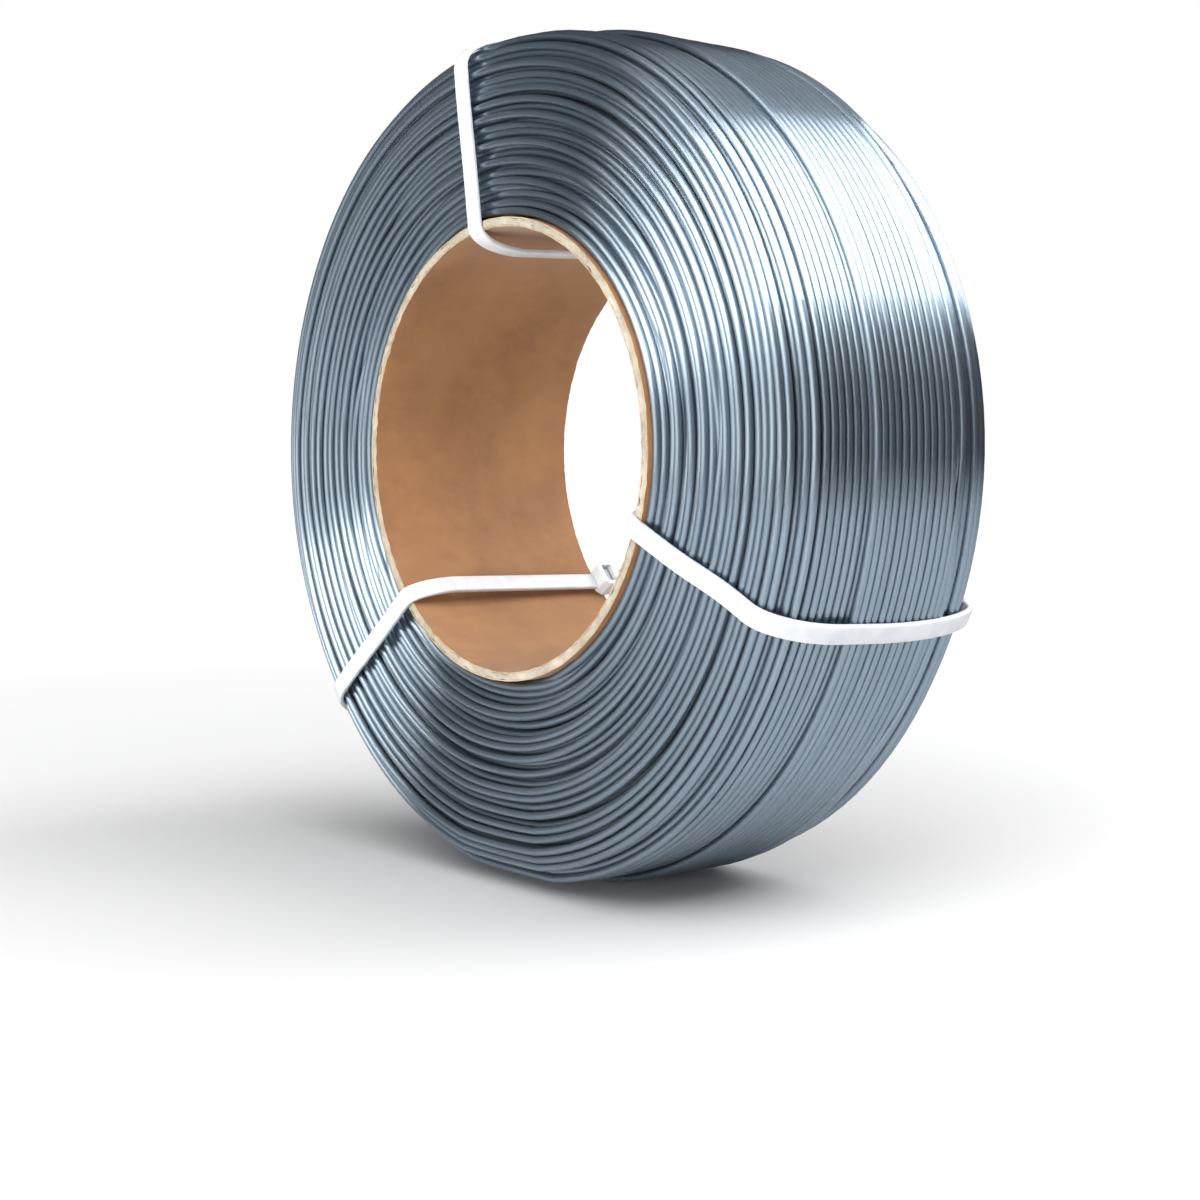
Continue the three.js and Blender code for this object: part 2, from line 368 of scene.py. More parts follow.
def natural_nylon():
    """Natural nylon: milky white, with faint ribs across the strap from the teeth beneath."""
    recipe = Recipe(
        "natural_nylon",
        0.38,
        Subsurface_Weight=0.35,
        Subsurface_Radius=(1.0, 1.0, 1.1),
        Subsurface_Scale=0.8 * MM,
        Coat_Weight=0.1,
        Coat_Roughness=0.3,
    )
    milky = recipe.noise(recipe.place((220.0, 220.0, 220.0)), 3.0)
    grain = recipe.noise(recipe.place((1500.0, 1500.0, 1500.0)), 3.0)
    ribs = recipe.node(
        "ShaderNodeTexWave",
        {"Vector": recipe.place((0.0, 0.0, 1.0 / (2.2 * MM)), "strap"), "Scale": 1.0},
        bands_direction="Z",
    ).outputs["Fac"]
    colour = recipe.ramp(
        milky, [(0.3, (0.56, 0.59, 0.62)), (0.55, (0.63, 0.65, 0.68)), (0.8, (0.68, 0.70, 0.72))]
    )
    roughness = recipe.level(grain, 0.30, 0.46)
    return recipe.finish(colour, roughness, (ribs, 0.10, 0.08 * MM), (grain, 0.08, 0.02 * MM))


FILAMENT = silk_filament()
KRAFT = kraft_paper()
BOARD_EDGE = cut_edge("board_edge", (0.22, 0.19, 0.14), (0.33, 0.295, 0.235), (0.45, 0.415, 0.35))
LINER_EDGE = cut_edge("liner_edge", (0.25, 0.165, 0.09), (0.37, 0.275, 0.165), (0.47, 0.38, 0.26))
NYLON = natural_nylon()


# ---------------------------------------------------------------- the core

# Each ply has PLY_COLUMNS columns round the core and PLY_RINGS rings along it, the last ones at
# LAST_RING of the way to its ends. Its cut ends wander and are torn, over so many columns.
PLY_COLUMNS = 720
PLY_RINGS = 9
LAST_RING = 0.985
EDGE_STEPS = 4
END_WANDER = 0.03 * MM
WANDER_COLUMNS = 40
TEAR_COLUMNS = 1.6
RADIAL_TEAR = 0.25


def ply_section(inner, outer):
    """A ply's section, once round, as (radius, share of the way from the middle to the end)."""
    along = [-1, *np.linspace(-LAST_RING, LAST_RING, PLY_RINGS), 1]
    across = np.linspace(0, 1, EDGE_STEPS + 1)[1:-1]
    section = [(inner, y) for y in along]
    section += [(inner + (outer - inner) * t, 1) for t in across]
    section += [(outer, -y) for y in along]
    section += [(outer - (outer - inner) * t, -1) for t in across]
    return np.array(section).T


def build_ply(name, inner, outer, skin, edge, torn, slot):
    """One ply of the core: a tube whose cut ends are slightly torn."""
    radius, share = ply_section(inner, outer)
    count = len(radius)
    turn = np.linspace(0, 2 * np.pi, PLY_COLUMNS, endpoint=False)
    wander = END_WANDER * smooth_noise(PLY_COLUMNS, WANDER_COLUMNS, wrap=True)
    tears = [smooth_noise(PLY_COLUMNS, TEAR_COLUMNS, wrap=True) for _ in range(count)]
    tear = np.stack(tears, axis=1)
    at_end = np.abs(share) == 1
    end_shift = at_end * np.sign(share) * (wander[:, None] - abs(tear) * torn)
    length = CORE_END * share + end_shift
    radial = radius + at_end * np.roll(tear, 1, axis=0) * torn * RADIAL_TEAR
    points = at_angle(radial, length, turn[:, None] + 0 * radial)
    quads = ring_quads(PLY_COLUMNS, count, closed=True)
    side = np.tile(np.arange(count), PLY_COLUMNS)
    cut = (at_end[side] & at_end[(side + 1) % count]).astype(np.int32)
    piece = mesh_object(name, points.reshape(-1, 3), quads[:, ::-1], (), (skin, edge), cut)
    piece.data.set_sharp_from_angle(angle=math.radians(50))
    add_piece(piece, "reel", slot, name.replace("_ply", ""))


def build_core():
    """The board tube between its two kraft liners. The plies meet within the design's gaps."""
    seam = 0.02 * MM
    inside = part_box("core_inner_liner")[1].x + seam
    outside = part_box("core_board")[1].x + seam
    plies = [
        ("core_inner_liner_ply", BORE_RADIUS, inside, KRAFT, LINER_EDGE, 0.10 * MM, "kraft"),
        ("core_board_ply", inside, outside, BOARD_EDGE, BOARD_EDGE, 0.15 * MM, "board"),
        ("core_outer_liner_ply", outside, CORE_OUTER_RADIUS, KRAFT, LINER_EDGE, 0.08 * MM, "kraft"),
    ]
    for ply in plies:
        build_ply(*ply)


# ---------------------------------------------------------------- the winding


def winding_reach(radius, side):
    """How far the winding goes from the middle at a radius, on side -1 or 1: a gently bulging
    face, then an elliptical shoulder."""
    radial = np.where(side < 0, FRONT_SHOULDER_RADIAL, BACK_SHOULDER_RADIAL)
    start = WINDING_OUTER_RADIUS - radial
    across = np.clip((radius - WINDING_INNER_RADIUS) / (start - WINDING_INNER_RADIUS), 0, 1)
    widening = FACE_HALF_WIDTH - FACE_HALF_WIDTH_AT_CORE
    face = FACE_HALF_WIDTH_AT_CORE + widening * np.sin(across * np.pi / 2)
    up = np.clip((radius - start) / radial, 0, 1)
    shoulder = OUTER_HALF_WIDTH + SHOULDER_AXIAL * np.sqrt(1 - up**2)
    return np.where(radius <= start, face, shoulder)


def plan_strand():
    """The strand as the winder lays it: for each sample its turn, radius, place along and layer.

    The knots say where the strand is after so many turns: it crosses the core at an even pitch,
    stays at the end for part of a turn while it climbs a layer, and comes back."""
    start = TIE_ANGLES["upper"] / (2 * np.pi)
    turns = start
    knots = []
    starts = []
    reach_of = []
    for layer in range(len(LAYERS)):
        side = -1 if layer % 2 == 0 else 1
        radius = WINDING_INNER_RADIUS + STRAND_RADIUS + layer * LAYER_PITCH
        reach = [float(winding_reach(radius, face)) - STRAND_RADIUS for face in (-1, 1)]
        near = reach[side > 0] + REACH_SCATTER * (LONGEST_REACH - RNG.random())
        far = reach[side < 0] + REACH_SCATTER * (LONGEST_REACH - RNG.random())
        if layer == len(LAYERS) - 1:
            far = -LAST_TURN_Y
        starts.append(turns)
        reach_of.append(reach)
        knots.append((turns, side * near, radius))
        if layer == 0:
            turns += END_DWELL
            knots.append((turns, side * near, radius))
        turns += (near + far) / TURN_PITCH
        knots.append((turns, -side * far, radius))
        turns += END_DWELL
    left_tie = TIE_ANGLES["left"] % (2 * np.pi) / (2 * np.pi)
    end = np.floor(knots[-1][0]) + 1 + (left_tie + END_TUCK)
    knots.append((end, knots[-1][1], knots[-1][2]))
    turn = np.arange(math.ceil(start * COLUMNS), int(end * COLUMNS)) / COLUMNS
    knot_turns, knot_along, knot_radius = np.array(knots).T
    along = np.interp(turn, knot_turns, knot_along)
    radius = np.interp(turn, knot_turns, knot_radius)
    layer = np.searchsorted(np.array(starts), turn, side="right") - 1
    return turn, radius, along, layer, np.array(reach_of)


def depth_in(along, layer, reach_of):
    """How far a sample lies in from its layer's end on its own side."""
    return reach_of[layer, (along > 0).astype(int)] - np.abs(along)


def held_by_ties(turn):
    """How firmly the ties hold the strand after so many turns: 1 under a tie, 0 far from all."""
    held = 0.0
    for tie_angle in TIE_ANGLES.values():
        away = (turn * 2 * np.pi - tie_angle + np.pi) % (2 * np.pi) - np.pi
        held = np.maximum(held, np.exp(-((away / HELD_SPREAD) ** 2)))
    return held


def loosen(turn, radius, along, layer, reach_of):
    """Small wanderings of the strand, larger where an end turn has nothing beside it."""
    count = len(radius)
    inward = np.clip(depth_in(along, layer, reach_of) / TURN_PITCH, 0, 4)
    at_end = np.exp(-inward)
    free = at_end * (1 - held_by_ties(turn))
    along_drift = ALONG_DRIFT * smooth_noise(count, ALONG_SAMPLES)
    along_drift += END_ALONG_DRIFT * free * smooth_noise(count, END_ALONG_SAMPLES)
    radial_drift = RADIAL_DRIFT * smooth_noise(count, RADIAL_SAMPLES)
    radial_drift += END_RADIAL_DRIFT * at_end * smooth_noise(count, END_RADIAL_SAMPLES)
    sinking = np.clip(smooth_noise(count, SINK_SAMPLES) - SINK_FROM, 0, SINK_LIMIT)
    sunk = END_SINK * free * sinking
    return radius + radial_drift, along + along_drift - np.sign(along) * sunk


def cross_sections(turn, layer):
    """Which samples pass each column, by layer: an array [column, layer, turn], -1 for none."""
    sample = np.arange(len(layer))
    column = np.rint(turn * COLUMNS).astype(int) % COLUMNS
    order = np.lexsort((sample, layer, column))
    group = column[order] * len(LAYERS) + layer[order]
    first = np.concatenate([[0], np.flatnonzero(np.diff(group)) + 1])
    sizes = np.diff(np.concatenate([first, [len(group)]]))
    rank = np.arange(len(group)) - np.repeat(first, sizes)
    table = np.full((COLUMNS, len(LAYERS), sizes.max()), -1)
    table[column[order], layer[order], rank] = order
    return table


def push_apart(first, second):
    """How far each of two sets of points [..., n, 2] moves so that no strand lies in another."""
    gap = second[..., None, :, :] - first[..., :, None, :]
    distance = np.sqrt((gap**2).sum(-1)) + 1e-9
    overlap = np.clip(2 * STRAND_RADIUS - distance, 0, None) / distance / 2
    move = gap * overlap[..., None]
    return -move.sum(-2), move.sum(-3)


def settle_strand(turn, radius, along, layer):
    """Pushes touching strands apart, keeps them smooth and inside the winding's outline."""
    table = cross_sections(turn, layer)
    missing = table < 0
    # Where a layer has no turn, a point metres away stands in for it and touches nothing.
    far_away = np.arange(missing.sum())[:, None] * np.array([1.0, 1.0]) + 10
    place = np.stack([radius, along], axis=1)
    kernel = np.array([0.25, 0.5, 0.25])
    for _ in range(SETTLING_PASSES):
        points = place[table]
        points[missing] = far_away
        moves = np.zeros_like(points)
        inner_move, outer_move = push_apart(points[:, :-1], points[:, 1:])
        moves[:, :-1] += inner_move
        moves[:, 1:] += outer_move
        beside = points[:, :, 1:] - points[:, :, :-1]
        distance = np.sqrt((beside**2).sum(-1))
        overlap = np.clip(2 * STRAND_RADIUS - distance, 0, None) / distance / 2
        moves[:, :, 1:] += beside * overlap[..., None]
        moves[:, :, :-1] -= beside * overlap[..., None]
        change = np.zeros_like(place)
        change[table[~missing]] = moves[~missing]
        place += np.clip(change, -LARGEST_MOVE, LARGEST_MOVE)
        for _ in range(SMOOTHING_ROUNDS):
            for axis in (0, 1):
                place[1:-1, axis] = np.convolve(place[:, axis], kernel, mode="valid")
        place[:, 0] = np.clip(
            place[:, 0], WINDING_INNER_RADIUS + STRAND_RADIUS, WINDING_OUTER_RADIUS - STRAND_RADIUS
        )
        limit = winding_reach(place[:, 0], np.sign(place[:, 1])) - STRAND_RADIUS
        place[:, 1] = np.clip(place[:, 1], -limit, limit)
    return place[:, 0], place[:, 1]


def pinch(angle):
    """How far the ties pull the outermost turn in at an angle."""
    total = 0.0
    for tie_angle in TIE_ANGLES.values():
        away = (angle - tie_angle + np.pi) % (2 * np.pi) - np.pi
        total += PINCH_DEPTH * np.exp(-((away / PINCH_SPREAD) ** 2))
    return total


def lie_in_place(radius, along, angle):
    """Where the round, centred winding really lies: pulled in by its ties, hanging off centre,
    and pressed flat where it stands."""
    through = (radius - WINDING_INNER_RADIUS) / (WINDING_OUTER_RADIUS - WINDING_INNER_RADIUS)
    centres = at_angle(radius - through * pinch(angle), along, angle)
    centres[:, 0] += through * HANG[0]
    centres[:, 2] += through * HANG[1]
    outermost = WINDING_OUTER_RADIUS - STRAND_RADIUS
    lowest = (outermost - pinch(angle)) * np.sin(angle) + HANG[1]
    centres[:, 2] += through**2 * np.clip(FLOOR_Z + STRAND_RADIUS - lowest, 0, None)
    return centres


def strand_directions(centres):
    """For each sample the way outwards and the way along the bore, both square to the strand."""
    tangent = np.gradient(centres, axis=0)
    tangent /= np.linalg.norm(tangent, axis=1, keepdims=True)
    sideways = np.array([0.0, 1.0, 0.0]) - tangent * tangent[:, 1:2]
    sideways /= np.linalg.norm(sideways, axis=1, keepdims=True)
    return np.cross(sideways, tangent), sideways


def strand_tube(name, centres, outward, sideways, travelled):
    """A round strand along a line, closed at both ends."""
    around = np.linspace(0, 2 * np.pi, STRAND_SIDES, endpoint=False)
    ring = np.cos(around)[:, None] * outward[:, None] + np.sin(around)[:, None] * sideways[:, None]
    points = centres[:, None] + STRAND_RADIUS * ring
    quads = ring_quads(len(centres), STRAND_SIDES)
    last = (len(centres) - 1) * STRAND_SIDES
    caps = [np.arange(STRAND_SIDES)[::-1], last + np.arange(STRAND_SIDES)]
    piece = mesh_object(name, points.reshape(-1, 3), quads, caps, (FILAMENT,))
    piece.data.set_sharp_from_angle(angle=math.radians(60))
    streaks = np.stack(
        np.broadcast_arrays(np.cos(around)[None], np.sin(around)[None], travelled[:, None]), axis=-1
    )
    point_attribute(piece, "strand", streaks.reshape(-1, 3))
    across = np.cos(around)[:, None] * sideways[:, None] - np.sin(around)[:, None] * outward[:, None]
    point_attribute(piece, "across", across.reshape(-1, 3))
    return piece


def build_winding():
    """Lays, loosens and settles the whole strand, then makes each layer's stretch a piece."""
    turn, radius, along, layer, reach_of = plan_strand()
    radius, along = loosen(turn, radius, along, layer, reach_of)
    radius, along = settle_strand(turn, radius, along, layer)
    centres = lie_in_place(radius, along, turn * 2 * np.pi)
    outward, sideways = strand_directions(centres)
    step = np.linalg.norm(np.diff(centres, axis=0), axis=1)
    travelled = np.concatenate([[0], np.cumsum(step)])
    covering = np.minimum(layer + 1, len(LAYERS) - 1)
    near_end = depth_in(along, layer, reach_of) < END_TURNS * TURN_PITCH
    uncovered = depth_in(along, covering, reach_of) < UNCOVERED_TURNS * TURN_PITCH
    seen = near_end | uncovered | (layer >= len(LAYERS) - 2)
    kept = seen | (np.arange(len(layer)) % 2 == 0)
    for number, node in enumerate(LAYERS):
        samples = np.flatnonzero((layer == number) & kept)
        following = np.flatnonzero((layer == number + 1) & kept)[:1]
        samples = np.concatenate([samples, following])
        name = node.replace("layer", "strand")
        lines = [line[samples] for line in (centres, outward, sideways, travelled)]
        piece = strand_tube(name, *lines)
        add_piece(piece, "reel", "filament", node)


# ---------------------------------------------------------------- the ties

# A tie, drawn in its own plane: radii from the plane's base, which is near the bore's axis, and
# places along the bore.
STRAP_WIDTH = 4.3 * MM
STRAP_THICKNESS = 1.2 * MM
STRAP_LIFT = 0.6 * MM
STRAP_NECK_RADIUS = 48.3 * MM
STRAP_INSIDE_RADIUS = 46.3 * MM
STRAP_BEND_RADIAL = 5.0 * MM
STRAP_BEND_AXIAL = 13.0 * MM
TAIL_END_RADIUS = 43.6 * MM
TOOTH_PITCH = 1.1 * MM
TOOTH_DEPTH = 0.32 * MM
RAIL_WIDTH = 0.7 * MM
RAIL_SLOPE = 0.08 * MM
RAIL_CHAMFER = 0.2 * MM
EDGE_ROUNDING = 0.35 * MM
CROWN_HALF_WIDTH = 0.9 * MM
CROWN = 0.03 * MM
PLAIN_LENGTH = 12 * MM
TEETH_RUN_IN = 2 * MM
SHALLOWEST_TOOTH = 0.25
SMOOTHED_RINGS = 9
NECK_OVERLAP = 0.6 * MM
TAIL_CLEARANCE = 0.3 * MM
HEAD_INNER_RADIUS = 44.4 * MM
HEAD_OUTER_RADIUS = 49.5 * MM
HEAD_FRONT_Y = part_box("upper_tie_head")[0].y
HEAD_BACK_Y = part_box("upper_tie_head")[1].y
HEAD_WIDTH = 7.2 * MM
HEAD_WALL = 1.3 * MM
HEAD_TAPER = 1.4 * MM
HEAD_ROUNDING = 0.4 * MM
NECK_WIDTH = 4.9 * MM
TAIL_Y = HEAD_BACK_Y - HEAD_WALL - TAIL_CLEARANCE - STRAP_THICKNESS / 2
LOOP_MIDDLE_RADIUS = (STRAP_INSIDE_RADIUS + WINDING_OUTER_RADIUS) / 2

# The pawl: a wedge that hangs from the front wall of the head's slot, with teeth on its tail side.
PAWL_WIDTH = 3.6 * MM
PAWL_ROOT_INSET = 0.5 * MM
PAWL_ROOT_THICKNESS = 0.8 * MM
PAWL_HEEL = 0.65 * MM
PAWL_WALL_GAP = 0.15 * MM
PAWL_TIP_INSET = 1.0 * MM
PAWL_TIP_THICKNESS = 0.7 * MM
PAWL_ROUNDING = 0.06 * MM
PAWL_TEETH = 3
PAWL_FIRST_TOOTH = 0.1 * MM
PAWL_TOOTH_PITCH = 0.75 * MM
PAWL_TOOTH_HEIGHT = 0.45 * MM
PAWL_TOOTH_LENGTH = 0.6 * MM
PAWL_LEAN = 0.25 * MM

# How far each strap strays sideways from its plane, on the front face and over the outside. Those
# two places are degrees round the winding's section from straight in front, each with its spread.
FACE_PLACE, FACE_SPREAD = 20, 25
OUTSIDE_PLACE, OUTSIDE_SPREAD = 105, 38
STRAP_SWAY = {
    "upper": (0.5 * MM, -2.5 * MM),
    "left": (-0.6 * MM, -1.0 * MM),
    "right": (1.2 * MM, -1.0 * MM),
}


def quarter(steps):
    """Angles over a quarter turn."""
    return np.linspace(0, np.pi / 2, steps)


def strap_outer_radius(tie):
    """Where a strap runs over the outside of the winding, as a radius in the tie's plane."""
    base, out, _ = TIE_PLANES[tie]
    angle = TIE_ANGLES[tie]
    hang = HANG @ [math.cos(angle), math.sin(angle)]
    from_axis = WINDING_OUTER_RADIUS - pinch(angle) + hang + STRAP_LIFT
    shift = base @ out
    return math.sqrt(shift**2 - base @ base + from_axis**2) - shift


def strap_line(tie):
    """The middle line of a strap as (radius, along) points: from its neck, forward along the
    bore, over the winding and down the back, and in through the head."""
    outer = strap_outer_radius(tie)
    front_y = FACE_HALF_WIDTH + STRAP_LIFT
    turn = quarter(16)
    front_bend = np.stack(
        [
            STRAP_INSIDE_RADIUS + STRAP_BEND_RADIAL * (1 - np.cos(turn)),
            -front_y + STRAP_BEND_AXIAL * (1 - np.sin(turn)),
        ],
        axis=1,
    )
    turn = quarter(24)
    shoulders = []
    for radial, face_y in ((FRONT_SHOULDER_RADIAL, front_y), (BACK_SHOULDER_RADIAL, TAIL_Y)):
        shoulder_start = WINDING_OUTER_RADIUS - radial
        rising = shoulder_start + (outer - shoulder_start) * np.sin(turn)
        inward = OUTER_HALF_WIDTH + (face_y - OUTER_HALF_WIDTH) * np.cos(turn)
        shoulders.append(np.stack([rising, inward], axis=1))
    start = [[STRAP_NECK_RADIUS, HEAD_FRONT_Y + NECK_OVERLAP]]
    end = [[TAIL_END_RADIUS, TAIL_Y]]
    return np.concatenate([start, front_bend, shoulders[0] * [1, -1], shoulders[1][::-1], end])


def strap_sway(tie, line):
    """How far a strap strays sideways, by its place on the way round the winding."""
    place = np.degrees(np.arctan2(line[:, 0] - LOOP_MIDDLE_RADIUS, -line[:, 1]))
    on_face, outside = STRAP_SWAY[tie]
    sway = on_face * np.exp(-(((place - FACE_PLACE) / FACE_SPREAD) ** 2))
    return sway + outside * np.exp(-(((place - OUTSIDE_PLACE) / OUTSIDE_SPREAD) ** 2))


def resample(line, spacing):
    """The same line with even steps."""
    step = np.linalg.norm(np.diff(line, axis=0), axis=1)
    length = np.concatenate([[0], np.cumsum(step)])
    even = np.linspace(0, length[-1], int(length[-1] / spacing) + 1)
    return np.stack([np.interp(even, length, line[:, axis]) for axis in (0, 1)], axis=1), even


def strap_section(height):
    """The strap's cross-section as (across, outward) points: a crowned back with round edges,
    and a toothed channel of a given depth between two rails."""
    half, thick = STRAP_WIDTH / 2, STRAP_THICKNESS / 2
    turn = quarter(4)
    corner_across = half - EDGE_ROUNDING + EDGE_ROUNDING * np.sin(turn)
    corner_up = thick - EDGE_ROUNDING + EDGE_ROUNDING * np.cos(turn)
    corner = np.stack([corner_across, corner_up], axis=1)
    crown = [[CROWN_HALF_WIDTH, thick + CROWN], [-CROWN_HALF_WIDTH, thick + CROWN]]
    rail = half - RAIL_WIDTH
    under = [
        (-half, -thick + RAIL_CHAMFER),
        (-half + RAIL_CHAMFER, -thick),
        (-rail, -thick),
        (-rail + RAIL_SLOPE, -thick + height),
        (rail - RAIL_SLOPE, -thick + height),
        (rail, -thick),
        (half - RAIL_CHAMFER, -thick),
        (half, -thick + RAIL_CHAMFER),
    ]
    return np.concatenate([corner[::-1], crown, corner * [-1, 1], under])


def build_strap(tie):
    """One strap, swept along its line in the tie's plane."""
    base, out, across = TIE_PLANES[tie]
    spacing = TOOTH_PITCH / 4
    line, travelled = resample(strap_line(tie), spacing)
    kernel = np.ones(SMOOTHED_RINGS) / SMOOTHED_RINGS
    untouched = SMOOTHED_RINGS // 2
    for axis in (0, 1):
        line[untouched:-untouched, axis] = np.convolve(line[:, axis], kernel, mode="valid")
    tangent = np.gradient(line, axis=0)
    tangent /= np.linalg.norm(tangent, axis=1, keepdims=True)
    outward = np.stack([-tangent[:, 1], tangent[:, 0]], axis=1)
    outward *= np.sign((outward * (line - [LOOP_MIDDLE_RADIUS, 0])).sum(1).mean())
    saw = (travelled / TOOTH_PITCH) % 1.0
    toothed = np.clip((travelled - PLAIN_LENGTH) / TEETH_RUN_IN, 0, 1)
    depth = TOOTH_DEPTH * (SHALLOWEST_TOOTH + (1 - SHALLOWEST_TOOTH) * saw) * toothed
    sections = np.stack([strap_section(height) for height in depth])
    bore = np.array([0.0, 1.0, 0.0])
    centre = base + line[:, :1] * out + line[:, 1:] * bore + strap_sway(tie, line)[:, None] * across
    up = outward[:, :1] * out + outward[:, 1:] * bore
    points = centre[:, None] + sections[..., :1] * across + sections[..., 1:] * up[:, None]
    rings, sides = sections.shape[:2]
    quads = ring_quads(rings, sides)
    caps = [np.arange(sides)[::-1], (rings - 1) * sides + np.arange(sides)]
    piece = mesh_object(f"{tie}_strap", points.reshape(-1, 3), quads, caps, (NYLON,))
    piece.data.set_sharp_from_angle(angle=math.radians(50))
    places = np.broadcast_to(travelled[:, None, None], (rings, sides, 1)) * [0, 0, 1]
    point_attribute(piece, "strap", places.reshape(-1, 3))
    add_piece(piece, "reel", "nylon", f"{tie}_tie_strap")


def pierced_block(name, outline, hole, radii, tie, bevel):
    """A block drawn as (across, along) outlines, outside and hole, between two radii. Its edges
    are rounded."""
    shape = bmesh.new()
    rims = [
        [
            [shape.verts.new((radius, along, across)) for across, along in points]
            for points in (outline, hole)
        ]
        for radius in radii
    ]
    low, high = rims
    count = len(outline)
    for i in range(count):
        j = (i + 1) % count
        for low_loop, high_loop in zip(low, high):
            shape.faces.new((low_loop[i], low_loop[j], high_loop[j], high_loop[i]))
        for outer_loop, inner_loop in rims:
            shape.faces.new((outer_loop[i], outer_loop[j], inner_loop[j], inner_loop[i]))
    bmesh.ops.recalc_face_normals(shape, faces=shape.faces)
    return bevelled_object(name, shape, tie, bevel)


def bevelled_object(name, shape, tie, bevel):
    """Rounds a bmesh's sharp edges, puts it in its tie's plane and makes it an object."""
    sharp = [edge for edge in shape.edges if edge.calc_face_angle(0) > math.radians(20)]
    bmesh.ops.bevel(
        shape, geom=sharp, offset=bevel, segments=3, profile=0.5, affect="EDGES", clamp_overlap=True
    )
    base, out, across = (Vector(part) for part in TIE_PLANES[tie])
    for vertex in shape.verts:
        radius, along, sideways = vertex.co
        vertex.co = base + radius * out + Vector((0, along, 0)) + sideways * across
    mesh = bpy.data.meshes.new(name)
    shape.to_mesh(mesh)
    shape.free()
    mesh.polygons.foreach_set("use_smooth", np.ones(len(mesh.polygons), bool))
    mesh.set_sharp_from_angle(angle=math.radians(40))
    mesh.materials.append(NYLON)
    piece = bpy.data.objects.new(name, mesh)
    bpy.context.scene.collection.objects.link(piece)
    return piece


def build_head(tie):
    """The head: a block that narrows to the strap's neck, with the slot right through it."""
    half, neck = HEAD_WIDTH / 2, NECK_WIDTH / 2
    slot = STRAP_WIDTH / 2 + TAIL_CLEARANCE
    front, back = HEAD_FRONT_Y, HEAD_BACK_Y
    slot_front, slot_back = front + HEAD_WALL, back - HEAD_WALL
    outline = [
        (neck, front),
        (half, front + HEAD_TAPER),
        (half, back),
        (-half, back),
        (-half, front + HEAD_TAPER),
        (-neck, front),
    ]
    # The hole has two points more than its shape needs, on its front edge, so that each point of
    # the outline has one of the hole's to join.
    extra = 0.7 * slot
    hole = [
        (extra, slot_front),
        (slot, slot_front),
        (slot, slot_back),
        (-slot, slot_back),
        (-slot, slot_front),
        (-extra, slot_front),
    ]
    radii = HEAD_INNER_RADIUS, HEAD_OUTER_RADIUS
    piece = pierced_block(f"{tie}_head", outline, hole, radii, tie, HEAD_ROUNDING)
    add_piece(piece, "reel", "nylon", f"{tie}_tie_head")


def pawl_outline():
    """The pawl's side as (radius, along) points: root, teeth from root to tip, tip and heel."""
    slot_front = HEAD_FRONT_Y + HEAD_WALL
    front = slot_front + PAWL_WALL_GAP
    root = HEAD_OUTER_RADIUS - PAWL_ROOT_INSET
    tip = HEAD_INNER_RADIUS + PAWL_TIP_INSET
    tip_y = TAIL_Y - STRAP_THICKNESS / 2 - TAIL_CLEARANCE
    teeth = []
    for tooth in range(PAWL_TEETH):
        crest = tip + PAWL_FIRST_TOOTH + tooth * PAWL_TOOTH_PITCH
        crest_y = tip_y - tooth * PAWL_LEAN
        teeth += [(crest, crest_y), (crest + PAWL_TOOTH_LENGTH, crest_y - PAWL_TOOTH_HEIGHT)]
    top = [(root, front), (root, front + PAWL_ROOT_THICKNESS)]
    return top + teeth[::-1] + [(tip, tip_y - PAWL_TIP_THICKNESS), (root - PAWL_HEEL, front)]


def build_pawl(tie):
    """The pawl: its side's outline, drawn out to its width."""
    outline = pawl_outline()
    shape = bmesh.new()
    loops = [
        [shape.verts.new((radius, along, side * PAWL_WIDTH / 2)) for radius, along in outline]
        for side in (-1, 1)
    ]
    for i in range(len(outline)):
        j = (i + 1) % len(outline)
        shape.faces.new((loops[0][i], loops[0][j], loops[1][j], loops[1][i]))
    for loop in loops:
        shape.faces.new(loop)
    bmesh.ops.recalc_face_normals(shape, faces=shape.faces)
    piece = bevelled_object(f"{tie}_pawl", shape, tie, PAWL_ROUNDING)
    add_piece(piece, f"{tie}_pawl", "nylon", f"{tie}_tie_pawl")


def build_ties():
    """The three cable ties."""
    for tie in TIES:
        build_strap(tie)
        build_head(tie)
        build_pawl(tie)


# ---------------------------------------------------------------- the studio

FLOOR_REACH = 30.0
FLOOR_DROP = 0.1 * MM
WARM_WHITE = (1.0, 0.965, 0.92)

# Each softbox: the way to it from the object, its distance, width and height in metres, its power
# in watts, and its colour if that is not white.
SOFTBOXES = {
    "key_softbox": ((0.54, 0.0, 0.84), 0.9, 2.8, 0.76, 36.0),
    "top_softbox": ((-0.09, 0.0, 1.0), 0.9, 2.2, 0.48, 1.6),
    "front_softbox": ((0.0, -1.0, 0.04), 1.4, 1.8, 0.7, 10.6, WARM_WHITE),
    "left_softbox": ((-0.9, -0.65, 0.35), 1.4, 1.6, 1.0, 0.9),
    "low_softbox": ((0.35, -1.0, -0.12), 0.5, 0.6, 0.07, 2.2),
    "sheen_softbox": ((0.1, -1.0, 0.62), 1.1, 1.5, 0.6, 15.0, WARM_WHITE),
}
ROOM_COLOUR = (0.85, 0.93, 1.0)
ROOM_STRENGTH = 0.06
WHITE = (1.0, 1.0, 1.0, 1.0)

# The camera: where it stands, how it is turned, in radians, and its lens, in millimetres.
CAMERA_PLACE = (0.3468, -0.28384, -0.00325)
CAMERA_YAW, CAMERA_PITCH, CAMERA_ROLL = -0.8838, -0.0394, -0.0029
SENSOR_WIDTH = 36.0
LENS_LENGTH = 56.661
CAMERA_SHIFT = -0.051


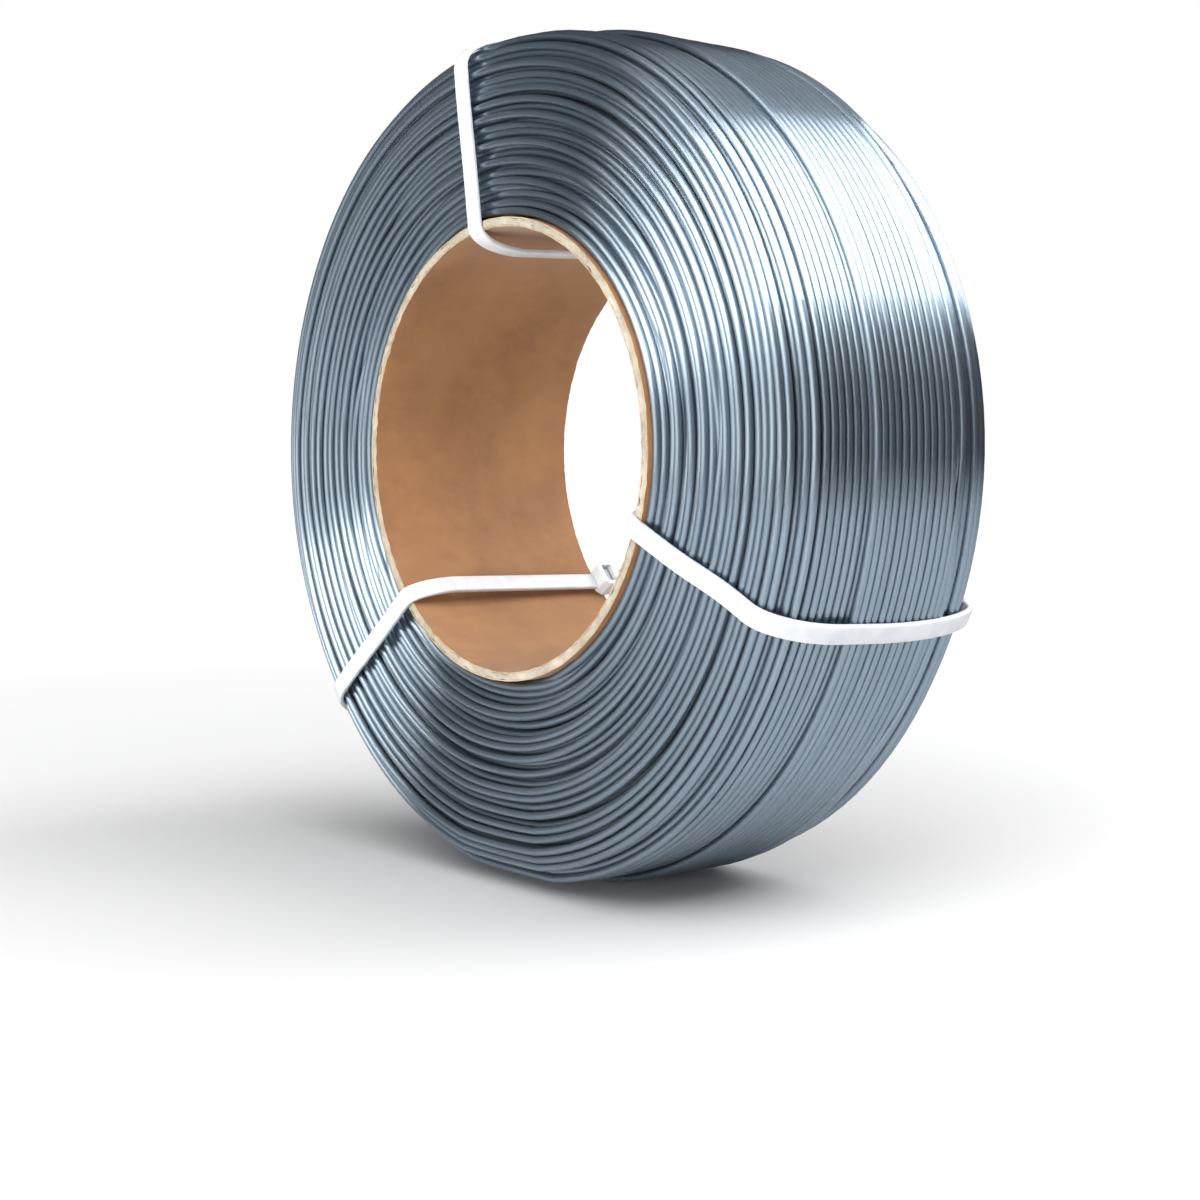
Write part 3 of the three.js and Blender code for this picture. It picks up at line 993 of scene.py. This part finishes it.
def build_floor():
    """A plain pale floor. Its own colour darkens with distance from the object, a painted falloff of light that
    the object sees in its reflections and bounce. To the camera it brightens with distance, as a lit sweep does.
    """
    recipe = Recipe("studio_floor", 0.6)
    recipe.shader.inputs["Emission Color"].default_value = WHITE
    place = recipe.place((1.0, 1.0, 1.0))
    away = recipe.node("ShaderNodeVectorMath", {0: place}, operation="LENGTH").outputs["Value"]
    # Painted falloff: the floor's colour is lighter near the object and darker further out, standing in for the
    # light falling off away from the softboxes.
    ground = recipe.ramp(away, [(0.25, (0.56, 0.56, 0.56)), (0.7, (0.25, 0.25, 0.25))])
    recipe.links.new(ground, recipe.shader.inputs["Base Color"])
    glow = recipe.level(away, 0.0, 1.0, 0.10, 0.75)
    seen = recipe.node("ShaderNodeLightPath").outputs["Is Camera Ray"]
    lit = recipe.node("ShaderNodeMath", {0: seen, 1: glow}, operation="MULTIPLY").outputs["Value"]
    recipe.links.new(lit, recipe.shader.inputs["Emission Strength"])
    far = FLOOR_REACH
    corners = [(-far, -far), (far, -far), (far, far), (-far, far)]
    points = np.array([(x, y, FLOOR_Z - FLOOR_DROP) for x, y in corners])
    floor = mesh_object("studio_floor", points, np.array([[0, 1, 2, 3]]), (), (recipe.material,))


def area_light(name, direction, distance, width, height, power, colour=(1.0, 1.0, 1.0)):
    """A softbox that looks at the object from a direction."""
    data = bpy.data.lights.new(name, "AREA")
    data.shape = "RECTANGLE"
    data.size, data.size_y = width, height
    data.energy = power
    data.color = colour
    light = bpy.data.objects.new(name, data)
    place = Vector(direction).normalized() * distance
    light.location = place
    light.rotation_euler = (-place).to_track_quat("-Z", "Y").to_euler()
    light.visible_camera = False
    bpy.context.scene.collection.objects.link(light)
    return light


def build_lights():
    """A broad softbox over the right shoulder, weaker ones overhead, in front and at the left, and
    two that each do one thing: the low one lights all but reflections, and the sheen lights only
    those. The backdrop is white, and what the object reflects from the room around is dim."""
    lights = {name: area_light(name, *settings) for name, settings in SOFTBOXES.items()}
    lights["low_softbox"].visible_glossy = False
    lights["sheen_softbox"].visible_diffuse = False
    world = bpy.data.worlds.new("studio_world")
    world.use_nodes = True
    nodes, links = world.node_tree.nodes, world.node_tree.links
    room = nodes["Background"]
    room.inputs["Color"].default_value = (*ROOM_COLOUR, 1.0)
    room.inputs["Strength"].default_value = ROOM_STRENGTH
    backdrop = nodes.new("ShaderNodeBackground")
    backdrop.inputs["Color"].default_value = WHITE
    seen = nodes.new("ShaderNodeLightPath")
    either = nodes.new("ShaderNodeMixShader")
    links.new(seen.outputs["Is Camera Ray"], either.inputs["Fac"])
    links.new(room.outputs["Background"], either.inputs[1])
    links.new(backdrop.outputs["Background"], either.inputs[2])
    links.new(either.outputs["Shader"], nodes["World Output"].inputs["Surface"])
    bpy.context.scene.world = world
    bpy.context.scene.view_settings.view_transform = "Standard"


def build_camera():
    """The camera, at the photograph's viewing angle."""
    level = math.cos(CAMERA_PITCH)
    forward = Vector(
        (math.sin(CAMERA_YAW) * level, math.cos(CAMERA_YAW) * level, math.sin(CAMERA_PITCH))
    )
    data = bpy.data.cameras.new("camera")
    data.sensor_width = SENSOR_WIDTH
    data.lens = LENS_LENGTH
    data.shift_y = CAMERA_SHIFT
    data.clip_start, data.clip_end = 0.01, 50.0
    camera = bpy.data.objects.new("camera", data)
    camera.location = CAMERA_PLACE
    camera.rotation_euler = forward.to_track_quat("-Z", "Y").to_euler()
    camera.rotation_euler.rotate_axis("Z", CAMERA_ROLL)
    bpy.context.scene.collection.objects.link(camera)
    bpy.context.scene.camera = camera


build_camera()
build_core()
build_winding()
build_ties()
build_floor()
build_lights()
